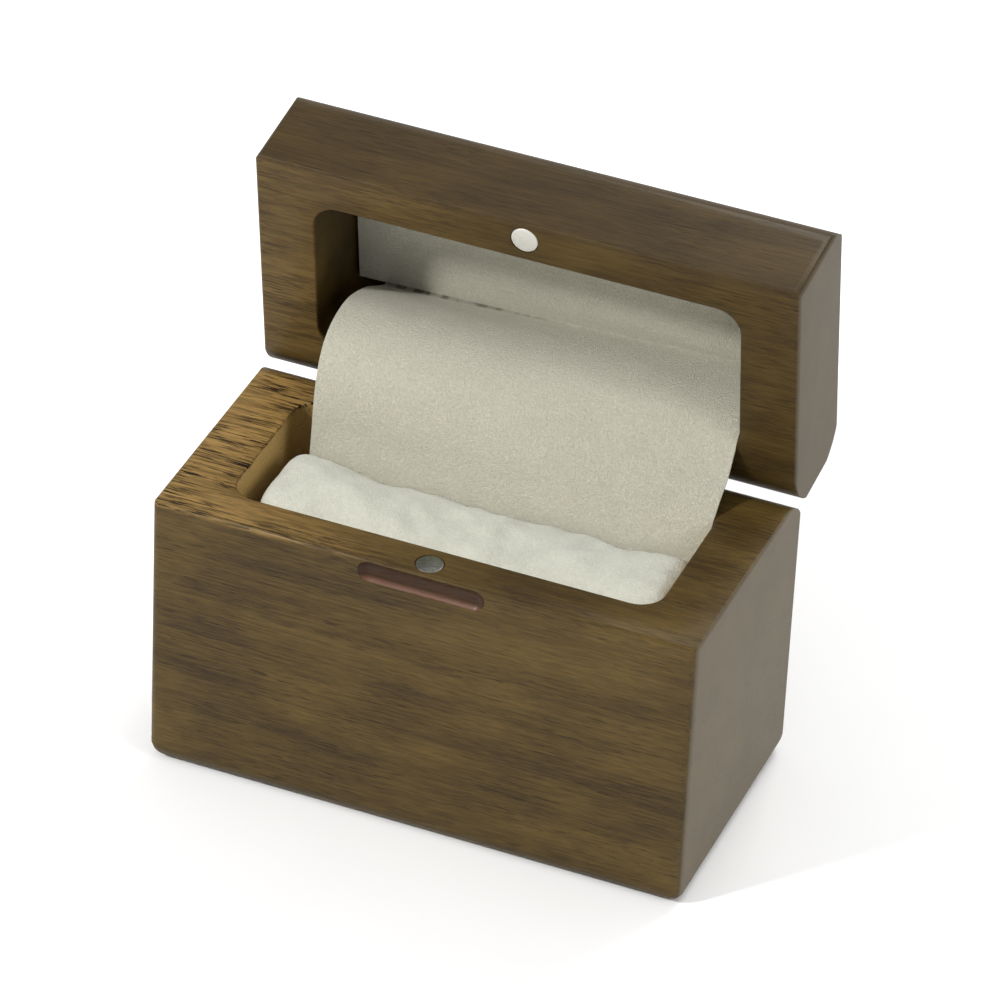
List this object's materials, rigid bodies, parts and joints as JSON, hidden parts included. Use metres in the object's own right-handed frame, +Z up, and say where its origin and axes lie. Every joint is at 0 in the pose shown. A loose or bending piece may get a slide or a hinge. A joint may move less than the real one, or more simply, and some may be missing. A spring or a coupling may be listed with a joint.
{
  "type": "ring box",
  "caption": "Walnut ring box: hollowed base and hinged lid, padded ring slot, suede flap over the hinges, magnet closure and thumb notch.",
  "frame": {"origin": "middle of the base's underside, on the surface the box stands on", "axes": "+X to the right along the hinge, -Y to the front with the thumb notch, +Z up"},
  "size_m": [0.06, 0.0409, 0.0625],
  "materials": {
    "walnut": "satin oil",
    "nickel": "nickel plated",
    "brass": "satin",
    "suede": "suede",
    "plush": "short plush",
    "foam": "matt",
    "card": "matt"
  },
  "bodies": {
    "base": {"base_block": "walnut", "base_magnet": "nickel", "left_hinge_base_leaf": "brass", "left_hinge_pin": "brass", "left_hinge_base_screws": "brass", "right_hinge_base_leaf": "brass", "right_hinge_pin": "brass", "right_hinge_base_screws": "brass", "pocket_card": "card", "front_roll_core": "foam", "front_roll_cover": "plush", "rear_pad": "foam", "hinge_flap": "suede"},
    "lid": {"lid_block": "walnut", "lid_magnet": "nickel", "left_hinge_lid_leaf": "brass", "left_hinge_lid_screws": "brass", "right_hinge_lid_leaf": "brass", "right_hinge_lid_screws": "brass", "lid_card": "card", "lid_liner": "suede"}
  },
  "joints": [
    {"name": "lid_hinge", "type": "hinge", "parent": "base", "child": "lid", "pos_m": [0, 0.0129, 0.03305], "axis": [-1, 0, 0], "range_deg": [-82, 23], "deforming": ["hinge_flap"]}
  ]
}
